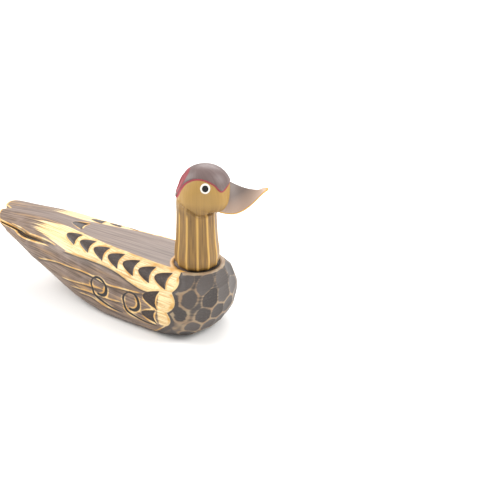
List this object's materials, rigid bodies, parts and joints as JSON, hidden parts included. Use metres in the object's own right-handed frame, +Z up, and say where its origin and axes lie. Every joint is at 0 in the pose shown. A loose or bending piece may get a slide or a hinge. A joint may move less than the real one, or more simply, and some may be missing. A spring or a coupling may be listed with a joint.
{
  "type": "carved wooden mandarin duck",
  "caption": "Hand-carved wooden mandarin duck figurine with a flat underside, scalloped wings, a notched tail and an upright faceted neck whose head is turned to one side.",
  "frame": {"origin": "on the flat underside, straight below the middle of the neck", "axes": "+X forward along the body, from the tail to the breast; +Y to the duck's left; +Z up, square to the underside"},
  "size_m": [0.2553, 0.082, 0.1428],
  "materials": {
    "body_wood": "grey-brown stained wood, rubbed back to cream on the scales and edges, worn satin wax",
    "head_wood": "golden-brown stained wood with a dull red-brown cap, painted eyes and an orange edge on the bill, worn satin wax"
  },
  "bodies": {
    "root": {"body": "body_wood", "head_and_neck": "head_wood"}
  },
  "joints": []
}
